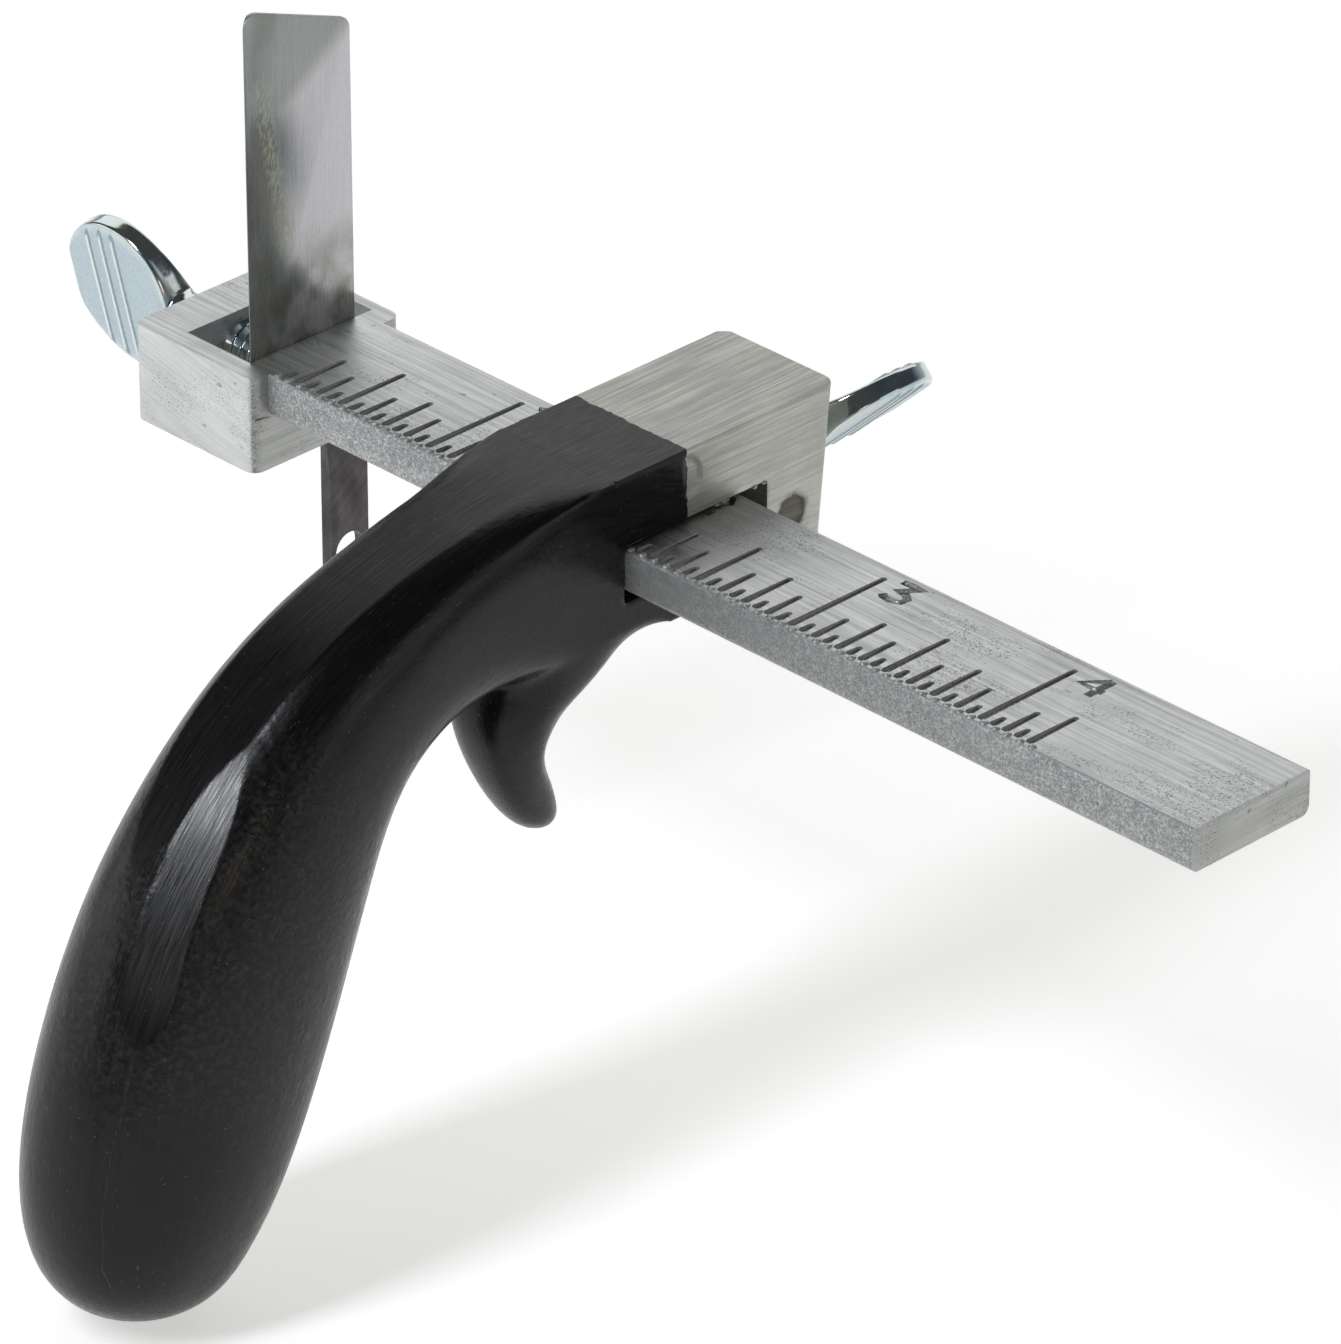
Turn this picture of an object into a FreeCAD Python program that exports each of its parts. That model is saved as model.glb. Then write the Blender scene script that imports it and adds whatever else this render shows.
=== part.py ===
import FreeCAD, Part
import math
import os

# Strap cutter: a pistol grip casting whose square nose carries a sliding, graduated gauge
# bar. The bar's head clamps an upright blade. The strap is as wide as the gap between the
# blade and the nose's flat side, the fence.
#
# Everything is drawn in ruler coordinates, in millimetres: X runs along the bar from the
# blade's face, which is the ruler's zero; Y runs across the bar, away from the grip; Z is
# up from the bar's graduated top face. place() moves a finished piece to the part's own
# origin, which lies on the fence, under the middle of the bar, where the strap's edge runs.

V = FreeCAD.Vector
INCH = 25.4
RUN = 0.06                  # radial clearance of a screw in its tapped hole
TIP_GAP = 0.08              # between a screw's tip and what it clamps

# ---- gauge bar and its ruler
bar_width = 16.2
bar_thick = 4.9
bar_length = 129.8          # from the ruler's zero to the bar's free end
bar_edge = 0.45             # rounding of the upper long edges and the end's upright ones
bar_low_edge = 1.0          # rounding of the lower long edges
tick_width = 0.62
tick_depth = 0.35
tick_inset = 0.75           # from the bar's edge to a tick's near end
tick_inch = 13.4            # length of the line at each whole inch
tick_half = 9.1
tick_quarter = 6.9
tick_eighth = 5.0
tick_sixteenth = 2.0
first_sixteenth = 2
last_sixteenth = 68

# ---- head at the blade end of the bar, one casting with the bar
head_front = 3.0            # wall between the blade and the bar
head_back = 15.0            # from the ruler's zero to the head's outer face
head_width = 20.5
head_height = 10.8
head_corner = 1.3           # rounding of the upright corners
pocket_length = 9.4         # open pocket behind the blade
pocket_near = 7.75          # from the centre line to the pocket's grip side
pocket_far = 9.0

# ---- blade
blade_width = 14.3
blade_thick = 0.5
blade_stand = 39.7          # top of the taller edge above the bar
blade_drop = 5.3            # how much lower the other edge ends
blade_sunk = 8.6            # how far the blade reaches below the bar's top
blade_corner = 3.0
blade_side_gap = 0.1        # from the pocket's grip side
blade_bevel = 0.9           # width of the keen edge's bevel
blade_keen = 24.0           # length that is ground keen, from the blade's lower end
blade_flat = 0.12           # thickness left at the keen edge

# ---- toe: the thick steel strip that stands below the head, just ahead of the blade
toe_width = 5.1
toe_thick = 1.5
toe_tang = 4.5              # length held inside the head's front wall
toe_drop = 22.5             # below the head's underside
toe_hole_radius = 2.0
toe_hole_up = 8.0           # from the toe's tip to the hole's centre
toe_grind_rise = 6.6        # the ground facet's reach below the head, on the keen side
toe_grind_end = 1.0         # and on the other side
toe_grind_depth = 0.7

# ---- handle casting: nose and slot
strap_width = 38.7          # gauge setting at rest, blade to fence
nose_length = 15.9          # along the bar
nose_above = 8.0            # above the bar's top
nose_below = 10.4           # below the bar's top
nose_end = 21.0             # from the centre line to the nose's end, at its top
nose_draft = 1.9            # how much shorter the nose is at its underside
nose_corner = 1.4
slot_top_gap = 0.3
slot_under_gap = 1.1
slot_grip_gap = 0.1
slot_far_gap = 3.4
mark_radius = 2.4           # round tool marks left on the nose's side
mark_depth = 0.15
mark_far_y = 15.0
mark_far_z = -5.0
mark_near_y = -0.3
mark_near_z = 4.9

# ---- handle casting: grip and finger hook
grip_start = -8.0           # where the nose's sharp corners begin to round over
neck_half_depth = 9.0
grip_half_width = 11.8      # along the bar, at the widest
grip_half_depth = 14.7
hook_half_width = 7.4
hook_half_depth = 8.2

# ---- thumb screws, quarter inch, twenty threads to the inch
screw_radius = 3.0
blade_screw_z = -4.5
blade_screw_tilt = -13.0    # degrees between the wing and the upright
lock_screw_z = -2.45
lock_screw_tilt = 47.0
shank_out = 1.5             # threaded shank showing between the casting and the wing
wing_neck = 0.6             # round neck before the wing broadens
wing_length = 17.9          # along the screw's axis
wing_span = 17.8            # across the axis
wing_root_span = 7.4        # width where the wing leaves the neck
wing_thick = 2.8
wing_swell = 8.0            # length over which the neck runs out into the wing

# ---- what follows from the sizes above
nose_mid = strap_width + nose_length / 2
half_nose = nose_length / 2
nose_half_height = (nose_above + nose_below) / 2
nose_centre_z = (nose_above - nose_below) / 2
bar_edge_y = bar_width / 2
slot_grip_y = -bar_edge_y - slot_grip_gap
slot_far_y = bar_edge_y + slot_far_gap
slot_low_z = -bar_thick - slot_under_gap
origin_z = (slot_low_z - nose_below) / 2
blade_y0 = -pocket_near + blade_side_gap
blade_y1 = blade_y0 + blade_width


def box(x0, x1, y0, y1, z0, z1):
    return Part.makeBox(x1 - x0, y1 - y0, z1 - z0, V(x0, y0, z0))


def rod(radius, length, start, direction):
    return Part.makeCylinder(radius, length, start, direction)


def edges_along(shape, axis, minimum):
    """Straight edges of a shape that run along one axis and are long enough."""
    found = []
    for edge in shape.Edges:
        if len(edge.Vertexes) != 2 or edge.Length < minimum:
            continue
        run = edge.Vertexes[1].Point - edge.Vertexes[0].Point
        if abs(run.normalize().dot(axis)) > 0.98:
            found.append(edge)
    return found


def place(shape):
    """Ruler coordinates to the part's own origin on the fence."""
    shape.translate(V(-strap_width, 0, -origin_z))
    return shape


def save(name, shape):
    place(shape)
    if not shape.isValid():
        shape.fix(1e-4, 1e-4, 1e-3)
    shape.exportStep("parts/" + name + ".step")
    print(name, "solids", len(shape.Solids), "volume %.1f" % shape.Volume, shape.isValid())


# ------------------------------------------------------------------ gauge bar with head

def tick_length(sixteenth):
    if sixteenth % 16 == 0:
        return tick_inch
    if sixteenth % 8 == 0:
        return tick_half
    if sixteenth % 4 == 0:
        return tick_quarter
    if sixteenth % 2 == 0:
        return tick_eighth
    return tick_sixteenth


def tick(sixteenth):
    """A round-ended groove in the bar's top for one line of the ruler."""
    x = sixteenth * INCH / 16
    near = -bar_edge_y + tick_inset
    far = near + tick_length(sixteenth)
    half = tick_width / 2
    groove = box(x - half, x + half, near, far - half, -tick_depth, 1)
    end = rod(half, 1 + tick_depth, V(x, far - half, -tick_depth), V(0, 0, 1))
    return groove.fuse(end)


def gauge_bar():
    bar = box(0, bar_length, -bar_edge_y, bar_edge_y, -bar_thick, 0)
    long_edges = edges_along(bar, V(1, 0, 0), bar_length / 2)
    upper = [edge for edge in long_edges if edge.CenterOfMass.z > -bar_thick / 2]
    bar = bar.makeFillet(bar_edge, upper)
    long_edges = edges_along(bar, V(1, 0, 0), bar_length / 2)
    lower = [edge for edge in long_edges if edge.CenterOfMass.z < -bar_thick + bar_edge / 2]
    bar = bar.makeFillet(bar_low_edge, lower)
    half = head_width / 2
    head = box(-head_back, head_front, -half, half, -head_height, 0)
    head = head.makeFillet(head_corner, edges_along(head, V(0, 0, 1), 5))
    body = bar.fuse(head)
    body = body.cut(box(-pocket_length, 0, -pocket_near, pocket_far, -head_height - 1, 1))
    body = body.cut(toe_tang_box(0))
    hole_start = V(-head_back - 1, 0, blade_screw_z)
    body = body.cut(rod(screw_radius + RUN, head_back - pocket_length + 2, hole_start, V(1, 0, 0)))
    for sixteenth in range(first_sixteenth, last_sixteenth + 1):
        x = sixteenth * INCH / 16
        if x > head_front + tick_width:
            body = body.cut(tick(sixteenth))
    return body.removeSplitter()


# ------------------------------------------------------------------ blade and toe

def blade():
    """Thin plate: slanted top with round corners, keen edge on the grip side."""
    low = -blade_sunk
    shoulder = blade_stand - blade_drop
    points = [V(0, blade_y0, low), V(0, blade_y1, low),
              V(0, blade_y1, shoulder), V(0, blade_y0, blade_stand)]
    face = Part.Face(Part.makePolygon(points + [points[0]]))
    plate = face.extrude(V(-blade_thick, 0, 0))
    top = [e for e in edges_along(plate, V(1, 0, 0), 0) if e.BoundBox.ZMin > shoulder - 1]
    plate = plate.makeFillet(blade_corner, top)
    outside = -blade_thick - 1
    waste = [V(outside, blade_y0 - 1, low - 1), V(outside, blade_y0 + blade_bevel, low - 1),
             V(-blade_thick, blade_y0 + blade_bevel, low - 1), V(-blade_flat, blade_y0, low - 1),
             V(-blade_flat, blade_y0 - 1, low - 1)]
    return plate.cut(Part.Face(Part.makePolygon(waste + [waste[0]])).extrude(V(0, 0, blade_keen + 1)))


def toe_tang_box(clearance):
    """The room the toe's tang takes in the head's front wall."""
    y1 = blade_y1
    top = -head_height + toe_tang
    return box(0, toe_thick + clearance, y1 - toe_width - clearance, y1 + clearance,
               -head_height - 1, top + clearance)


def toe():
    y1 = blade_y1
    y0 = y1 - toe_width
    top = -head_height + toe_tang
    low = -head_height - toe_drop
    plate = box(0, toe_thick, y0, y1, low, top)
    tip = [e for e in edges_along(plate, V(1, 0, 0), 0) if e.BoundBox.ZMax < low + 1]
    plate = plate.makeFillet(toe_width * 0.42, tip)
    hole = rod(toe_hole_radius, toe_thick + 2, V(-1, (y0 + y1) / 2, low + toe_hole_up), V(1, 0, 0))
    plate = plate.cut(hole)
    under = -head_height
    low_end = V(toe_thick, y0, under - toe_grind_rise)
    along = V(toe_thick, y1, under - toe_grind_end) - low_end
    up = V(toe_thick - toe_grind_depth, y0, under) - low_end
    facet = [low_end - along * 2, low_end + along * 3,
             low_end + along * 3 + up * 5, low_end - along * 2 + up * 5]
    waste = Part.Face(Part.makePolygon(facet + [facet[0]])).extrude(V(toe_thick * 3, 0, 0))
    return plate.cut(waste)


# ------------------------------------------------------------------ handle casting

def section(centre_y, centre_z, lean, half_x, half_n, power):
    """One closed section of the grip: a superellipse across the grip's centre line.
    lean is the angle of the centre line below the horizontal, in degrees."""
    lean = math.radians(lean)
    out = V(0, -math.sin(lean), math.cos(lean))
    points = []
    count = 40
    for i in range(count):
        turn = 2 * math.pi * (i + 0.5) / count
        c = math.cos(turn)
        s = math.sin(turn)
        across = half_x * math.copysign(abs(c) ** (2 / power), c)
        away = half_n * math.copysign(abs(s) ** (2 / power), s)
        points.append(V(nose_mid + across, centre_y, centre_z) + out * away)
    curve = Part.BSplineCurve()
    curve.interpolate(points, PeriodicFlag=True)
    return Part.Wire(curve.toShape())


# centre y, centre z, lean, share of the grip's half width and half depth, squareness
grip_stations = [
    (-30.0, -3.2, 17, 0.72, 0.605, 3.0),
    (-37.9, -6.3, 29, 0.78, 0.655, 2.5),
    (-44.5, -11.3, 43, 0.84, 0.755, 2.3),
    (-49.6, -17.5, 54, 0.905, 0.865, 2.2),
    (-54.3, -25.0, 61, 0.965, 0.96, 2.15),
    (-58.7, -34.0, 65, 1.0, 1.0, 2.15),
    (-62.3, -42.6, 68, 1.0, 0.98, 2.15),
    (-65.0, -50.1, 73, 0.955, 0.905, 2.15),
    (-66.7, -56.3, 77, 0.845, 0.775, 2.15),
    (-67.6, -60.6, 78, 0.67, 0.605, 2.1),
    (-68.1, -63.0, 79, 0.415, 0.375, 2.0),
    (-68.3, -63.9, 79, 0.135, 0.12, 2.0),
]

# centre y, centre z, lean, share of the hook's half width and half depth, from its root
hook_stations = [
    (-10.0, -5.5, 62, 1.0, 1.0, 2.6),
    (-13.2, -11.5, 64, 0.93, 0.9, 2.4),
    (-15.9, -16.8, 70, 0.8, 0.68, 2.3),
    (-17.3, -21.4, 80, 0.66, 0.52, 2.2),
    (-17.0, -25.2, 97, 0.54, 0.42, 2.1),
    (-15.5, -28.2, 114, 0.4, 0.3, 2.0),
    (-13.9, -29.8, 125, 0.2, 0.15, 2.0),
]


def sections(stations, half_width, half_depth):
    return [section(y, z, lean, half_width * wide, half_depth * deep, power)
            for y, z, lean, wide, deep, power in stations]


def grip():
    """Starts as the nose's own rectangle and swells and rounds towards the butt."""
    wires = [section(grip_start, nose_centre_z, 0, half_nose, nose_half_height, 9.0),
             section(grip_start - 6.0, nose_centre_z - 0.2, 5, half_nose, nose_half_height, 6.5),
             section(grip_start - 13.8, nose_centre_z - 0.7, 9, half_nose + 0.15, neck_half_depth, 4.2)]
    wires += sections(grip_stations, grip_half_width, grip_half_depth)
    return Part.makeLoft(wires, True, False)


def hook():
    return Part.makeLoft(sections(hook_stations, hook_half_width, hook_half_depth), True, False)


def nose():
    """Square nose: its far end leans in towards the underside."""
    x0 = strap_width
    x1 = strap_width + nose_length
    back = grip_start - 1.5
    outline = [V(x0, back, nose_above), V(x0, nose_end, nose_above),
               V(x0, nose_end - nose_draft, -nose_below), V(x0, back, -nose_below)]
    block = Part.Face(Part.makePolygon(outline + [outline[0]])).extrude(V(x1 - x0, 0, 0))
    upright = []
    for edge in block.Edges:
        centre = edge.CenterOfMass
        if centre.y > nose_end - nose_draft - 0.5 and abs(centre.z) < nose_below - 2:
            if edge.BoundBox.ZLength > 5:
                upright.append(edge)
    block = block.makeFillet(nose_corner, upright)
    return block


def handle_casting():
    body = grip().fuse(hook())
    body = body.fuse(nose())
    slot = box(strap_width - 20, strap_width + nose_length + 20, slot_grip_y, slot_far_y,
               slot_low_z, slot_top_gap)
    body = body.cut(slot)
    hole_start = V(nose_mid, bar_edge_y, lock_screw_z)
    body = body.cut(rod(screw_radius + RUN, nose_end, hole_start, V(0, 1, 0)))
    side = strap_width + nose_length
    for y, z in ((mark_far_y, mark_far_z), (mark_near_y, mark_near_z)):
        body = body.cut(rod(mark_radius, 2, V(side - mark_depth, y, z), V(1, 0, 0)))
    return body.removeSplitter()


# ------------------------------------------------------------------ thumb screws
# A thumb screw is drawn along +X from its tip at the origin, with its wing upright in the
# XZ plane. aim() turns it onto its hole.

def wing_outline(length, span, root):
    """Paddle outline in XZ: narrow at the neck, broad and round towards its end."""
    half = span / 2
    points = [V(0, 0, root / 2), V(length * 0.22, 0, half * 0.72), V(length * 0.52, 0, half),
              V(length * 0.84, 0, half * 0.72), V(length, 0, 0)]
    lower = [V(p.x, 0, -p.z) for p in reversed(points[:-1])]
    curve = Part.BSplineCurve()
    curve.interpolate(points + lower)
    closing = Part.makeLine(lower[-1], points[0])
    return Part.Wire([curve.toShape(), closing])


def wing():
    outline = Part.Face(wing_outline(wing_length, wing_span, wing_root_span))
    paddle = outline.extrude(V(0, wing_thick, 0))
    paddle.translate(V(wing_neck, -wing_thick / 2, 0))
    collar = rod(screw_radius, wing_neck, V(0, 0, 0), V(1, 0, 0))
    swell = Part.makeCone(screw_radius, wing_thick / 2, wing_swell, V(wing_neck, 0, 0), V(1, 0, 0))
    return paddle.fuse(collar).fuse(swell).removeSplitter()


def aim(shape, tip, direction, tilt):
    """Turn a screw drawn along +X onto its own axis, then spin it by tilt degrees."""
    shape.rotate(V(0, 0, 0), V(1, 0, 0), tilt)
    if direction.x < 0:
        shape.rotate(V(0, 0, 0), V(0, 0, 1), 180)
    elif direction.y > 0:
        shape.rotate(V(0, 0, 0), V(0, 0, 1), 90)
    shape.translate(tip)
    return shape


def shank(length, tip, direction):
    return aim(rod(screw_radius, length, V(0, 0, 0), V(1, 0, 0)), tip, direction, 0)


def blade_screw():
    tip_x = -blade_thick - TIP_GAP
    wing_x = -head_back - shank_out
    outward = V(-1, 0, 0)
    threaded = shank(tip_x - wing_x, V(tip_x, 0, blade_screw_z), outward)
    return threaded, aim(wing(), V(wing_x, 0, blade_screw_z), outward, blade_screw_tilt)


def lock_screw():
    tip_y = bar_edge_y + TIP_GAP
    lean_in = nose_draft * (nose_above - lock_screw_z) / (nose_above + nose_below)
    wing_y = nose_end - lean_in + shank_out
    outward = V(0, 1, 0)
    threaded = shank(wing_y - tip_y, V(nose_mid, tip_y, lock_screw_z), outward)
    return threaded, aim(wing(), V(nose_mid, wing_y, lock_screw_z), outward, lock_screw_tilt)


os.makedirs("parts", exist_ok=True)
save("handle_casting", handle_casting())
save("gauge_bar", gauge_bar())
save("blade", blade())
save("blade_toe", toe())
blade_shank, blade_wing = blade_screw()
save("blade_screw_shank", blade_shank)
save("blade_screw_wing", blade_wing)
lock_shank, lock_wing = lock_screw()
save("lock_screw_shank", lock_shank)
save("lock_screw_wing", lock_wing)
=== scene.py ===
# %% [markdown]
# # A strap cutter
# This lesson dresses a leatherworker's strap cutter: a pistol-grip casting, a graduated bar
# that slides through its nose, and an upright blade. Its working shape is already designed.
# Here each piece gets the surface that the workshop gave it: linished aluminium, sand-cast
# skin, dipped black enamel, zinc plate and polished spring steel.

# %% Load the frame
import math
import random

import bmesh
import bpy
import numpy as np
from mathutils import Matrix, Vector
from mathutils.bvhtree import BVHTree


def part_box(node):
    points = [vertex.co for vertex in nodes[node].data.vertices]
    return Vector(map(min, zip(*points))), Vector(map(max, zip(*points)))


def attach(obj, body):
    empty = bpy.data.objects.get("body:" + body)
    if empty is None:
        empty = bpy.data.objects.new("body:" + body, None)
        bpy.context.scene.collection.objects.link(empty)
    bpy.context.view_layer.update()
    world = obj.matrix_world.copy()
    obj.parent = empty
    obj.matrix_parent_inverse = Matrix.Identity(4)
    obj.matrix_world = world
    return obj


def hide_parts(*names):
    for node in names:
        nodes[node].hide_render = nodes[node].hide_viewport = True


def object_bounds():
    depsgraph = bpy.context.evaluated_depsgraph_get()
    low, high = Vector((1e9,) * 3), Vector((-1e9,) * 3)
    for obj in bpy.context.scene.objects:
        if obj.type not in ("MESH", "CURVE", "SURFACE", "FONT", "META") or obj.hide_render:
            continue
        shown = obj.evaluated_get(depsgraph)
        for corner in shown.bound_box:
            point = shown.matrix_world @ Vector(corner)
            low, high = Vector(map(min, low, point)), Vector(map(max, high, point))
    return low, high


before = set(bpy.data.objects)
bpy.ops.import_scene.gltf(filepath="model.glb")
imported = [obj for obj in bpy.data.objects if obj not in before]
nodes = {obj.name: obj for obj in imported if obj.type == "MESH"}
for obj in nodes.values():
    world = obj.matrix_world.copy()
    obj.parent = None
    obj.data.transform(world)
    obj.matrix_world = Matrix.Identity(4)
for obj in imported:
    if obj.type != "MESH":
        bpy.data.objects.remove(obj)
cad_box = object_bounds()
mm = 0.001
print("CAD box in mm:", [round(v / mm, 1) for corner in cad_box for v in corner])

# %% [markdown]
# ## The camera
# A long lens from front and above flattens the perspective, so that each piece keeps its true
# proportions. The camera is placed on a ray from the point it looks at, so its angle can be read
# off directly.

# %% Camera
camera_azimuth = math.radians(45.54)
camera_elevation = math.radians(29.46)
camera_distance = 989.5 * mm
camera_target = Vector((13.83, 0.0, -9.41)) * mm


def direction(azimuth, elevation):
    """Unit vector towards a compass angle and a height, both in radians."""
    flat = math.cos(elevation)
    return Vector((math.sin(azimuth) * flat, -math.cos(azimuth) * flat, math.sin(elevation)))


camera = bpy.data.objects.new("camera", bpy.data.cameras.new("camera"))
bpy.context.scene.collection.objects.link(camera)
towards_camera = direction(camera_azimuth, camera_elevation)
camera.location = camera_target + towards_camera * camera_distance
camera.rotation_euler = (-towards_camera).to_track_quat("-Z", "Y").to_euler()
camera.data.sensor_width = 36.0
camera.data.lens = 268.3
camera.data.clip_start = 0.05
bpy.context.scene.camera = camera
bpy.context.scene.view_settings.view_transform = "Standard"
print("camera stands", round(camera_distance, 3), "m from the tool")

# %% [markdown]
# ## Floor and light
# Bare metal shows what surrounds it, so the light is planned as things to be mirrored. A pale
# floor and a pale backdrop fill the flat faces, the space overhead stays dim so that the black
# enamel goes truly black, and one narrow softbox stands high on the left, where the ground spine
# of the grip mirrors it. The floor glows a little, which keeps its shadows faint.

# %% Softboxes
def linear(hex_colour):
    """An sRGB hex colour as linear RGBA."""
    channels = [int(hex_colour[i:i + 2], 16) / 255 for i in (1, 3, 5)]
    return [c / 12.92 if c <= 0.04045 else ((c + 0.055) / 1.055) ** 2.4 for c in channels] + [1.0]


def node(tree, kind, *inputs, out=0, stops=None, **settings):
    """Add a node of a kind, which may be paired with settings of its own. The inputs are given
    in order: a socket is linked, a value is set and None is passed over. Stops are the places
    and hex colours of a colour ramp. Gives back the output that is named, or else the first."""
    name, preset = kind if isinstance(kind, tuple) else (kind, {})
    made = tree.nodes.new(name)
    for setting, value in {**preset, **settings}.items():
        setattr(made, setting, value)
    for number, given in enumerate(inputs):
        if isinstance(given, bpy.types.NodeSocket):
            tree.links.new(made.inputs[number], given)
        elif given is not None:
            made.inputs[number].default_value = given
    if stops:
        while len(made.color_ramp.elements) < len(stops):
            made.color_ramp.elements.new(1.0)
        for element, (position, colour) in zip(made.color_ramp.elements, stops):
            element.position = position
            element.color = linear(colour)
    return made.outputs[out]


def softbox(name, azimuth, elevation, distance, width, height, radiance, colour):
    """A soft rectangular lamp that faces the tool, as bright per area as radiance says."""
    lamp = bpy.data.lights.new(name, "AREA")
    lamp.shape = "RECTANGLE"
    lamp.size = width
    lamp.size_y = height
    lamp.energy = radiance * math.pi * width * height
    lamp.color = linear(colour)[:3]
    holder = bpy.data.objects.new(name, lamp)
    bpy.context.scene.collection.objects.link(holder)
    ray = direction(math.radians(azimuth), math.radians(elevation))
    holder.location = camera_target + ray * distance
    holder.rotation_euler = (-ray).to_track_quat("-Z", "Y").to_euler()
    holder.visible_camera = False
    print("softbox", name, round(lamp.energy, 2), "W")


softbox("key_strip", -9, 46, 0.75, 0.13, 0.44, 15.0, "#f6f9ff")
softbox("backdrop", 218, 32, 1.0, 1.5, 0.70, 1.15, "#fefefe")
softbox("right_fill", 105, 20, 0.9, 0.5, 0.4, 0.9, "#fffaf2")
softbox("near_fill", 60, 20, 1.2, 0.30, 0.22, 2.2, "#fff0dc")
softbox("left_fill", -48, 12, 0.95, 0.8, 0.30, 1.3, "#fbfcff")

# %% Air and floor
world = bpy.data.worlds.new("studio_air")
bpy.context.scene.world = world
world.use_nodes = True
air = world.node_tree
air_direction = node(air, "ShaderNodeTexCoord", out="Generated")
air_height = node(air, "ShaderNodeSeparateXYZ", air_direction, out="Z")
air_stops = [(0.02, "#babbbc"), (0.32, "#484a4b")]      # pale at the horizon, dim overhead
air_colour = node(air, "ShaderNodeValToRGB", air_height, stops=air_stops)
air.links.new(air.nodes["Background"].inputs["Color"], air_colour)

floor_gap = 0.4 * mm
bpy.ops.object.select_all(action="DESELECT")
bpy.ops.mesh.primitive_plane_add(size=6.0, location=(0, 0, cad_box[0].z - floor_gap))
floor = bpy.context.object
floor.name = "floor"
floor_paint = bpy.data.materials.new("matt opal board, lit from below")
floor_paint.use_nodes = True
floor_shader = floor_paint.node_tree.nodes["Principled BSDF"]
for name, value in (("Base Color", linear("#f6f6f5")), ("Roughness", 0.9), ("Specular IOR Level", 0.1),
                    ("Emission Color", linear("#fffefc")), ("Emission Strength", 0.52)):
    floor_shader.inputs[name].default_value = value
floor.data.materials.append(floor_paint)

# %% [markdown]
# ## Small tools for mesh work
# Every new piece starts as a primitive or as a merged copy of a designed node. These helpers
# keep the selection clean, because an operator acts on everything that is selected.

# %% Mesh helpers
def start_clean():
    """Leave nothing selected, in object mode."""
    if bpy.context.mode != "OBJECT":
        bpy.ops.object.mode_set(mode="OBJECT")
    bpy.ops.object.select_all(action="DESELECT")


def take(piece):
    """Select one object alone and make it active."""
    start_clean()
    piece.select_set(True)
    bpy.context.view_layer.objects.active = piece
    return piece


def just_added(name):
    """Name the primitive that an operator has just added."""
    piece = bpy.context.object
    piece.name = name
    piece.data.name = name
    return piece


def settle(piece):
    """Put the piece's place, turn and size into its mesh."""
    take(piece)
    bpy.ops.object.transform_apply(location=True, rotation=True, scale=True)
    return piece


def apply_modifier(piece, kind, **settings):
    """Add a modifier with its settings and apply it."""
    take(piece)
    modifier = piece.modifiers.new(kind.lower(), kind)
    for name, value in settings.items():
        setattr(modifier, name, value)
    bpy.ops.object.modifier_apply(modifier=modifier.name)
    return piece


def merged_copy(name, node_name):
    """A copy of a designed node with its loose triangles joined up."""
    piece = bpy.data.objects.new(name, nodes[node_name].data.copy())
    piece.data.name = name
    bpy.context.scene.collection.objects.link(piece)
    take(piece)
    bpy.ops.object.mode_set(mode="EDIT")
    bpy.ops.mesh.select_all(action="SELECT")
    bpy.ops.mesh.remove_doubles(threshold=0.002 * mm)
    bpy.ops.object.mode_set(mode="OBJECT")
    if piece.data.has_custom_normals:
        bpy.ops.mesh.customdata_custom_splitnormals_clear()
    return piece


def join(name, pieces):
    """Join several pieces into the first."""
    take(pieces[0])
    for piece in pieces:
        piece.select_set(True)
    bpy.ops.object.join()
    return just_added(name)


def smooth(piece, degrees=35):
    """Smooth shading that keeps edges sharper than the angle."""
    take(piece)
    bpy.ops.object.shade_smooth_by_angle(angle=math.radians(degrees))
    return piece


def points_of(piece):
    """A mesh's vertices as an array, in metres."""
    flat = np.empty(len(piece.data.vertices) * 3)
    piece.data.vertices.foreach_get("co", flat)
    return flat.reshape(-1, 3)


def move_points(piece, points):
    """Write an array of vertices back to a mesh."""
    piece.data.vertices.foreach_set("co", np.ascontiguousarray(points).ravel())
    piece.data.update()


def cut_rings(piece, length, ring_height):
    """Cut a cylinder that stands on end into rings of about the height given."""
    bpy.ops.object.mode_set(mode="EDIT")
    bpy.ops.mesh.select_all(action="DESELECT")
    mesh = bmesh.from_edit_mesh(piece.data)
    for edge in mesh.edges:
        edge.select = abs(edge.verts[0].co.z - edge.verts[1].co.z) > length / 2
    bmesh.update_edit_mesh(piece.data)
    bpy.ops.mesh.subdivide(number_cuts=max(int(length / ring_height), 2))
    bpy.ops.object.mode_set(mode="OBJECT")


def face_outward(piece):
    """Turn the normal of every face outwards."""
    take(piece)
    bpy.ops.object.mode_set(mode="EDIT")
    bpy.ops.mesh.select_all(action="SELECT")
    bpy.ops.mesh.normals_make_consistent(inside=False)
    bpy.ops.object.mode_set(mode="OBJECT")
    return piece


def store(piece, name, values):
    """Keep one number for each vertex, for a finish to read."""
    kept = piece.data.attributes.new(name, "FLOAT", "POINT")
    kept.data.foreach_set("value", values.astype(np.float32))


def share(values, low, high):
    """0 below low, 1 above high, and a smooth step between."""
    t = np.clip((np.asarray(values) - low) / (high - low), 0.0, 1.0)
    return t * t * (3 - 2 * t)


def report(piece):
    """Print how many vertices and faces a piece has."""
    print(piece.name, len(piece.data.vertices), "vertices", len(piece.data.polygons), "faces")


# %% [markdown]
# ## The handle casting
# The handle is one sand casting: a square nose, a finger hook and a swelling grip. Its designed
# shape is exact but meets itself in hard creases, while a casting has soft inside corners. So a
# copy is remeshed into even small faces and pulled back onto the designed surface. The neck
# behind the nose is then squared, the hook is bent forward at its tip, and the inside corners
# where the hook grows out of the nose are filled.

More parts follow.
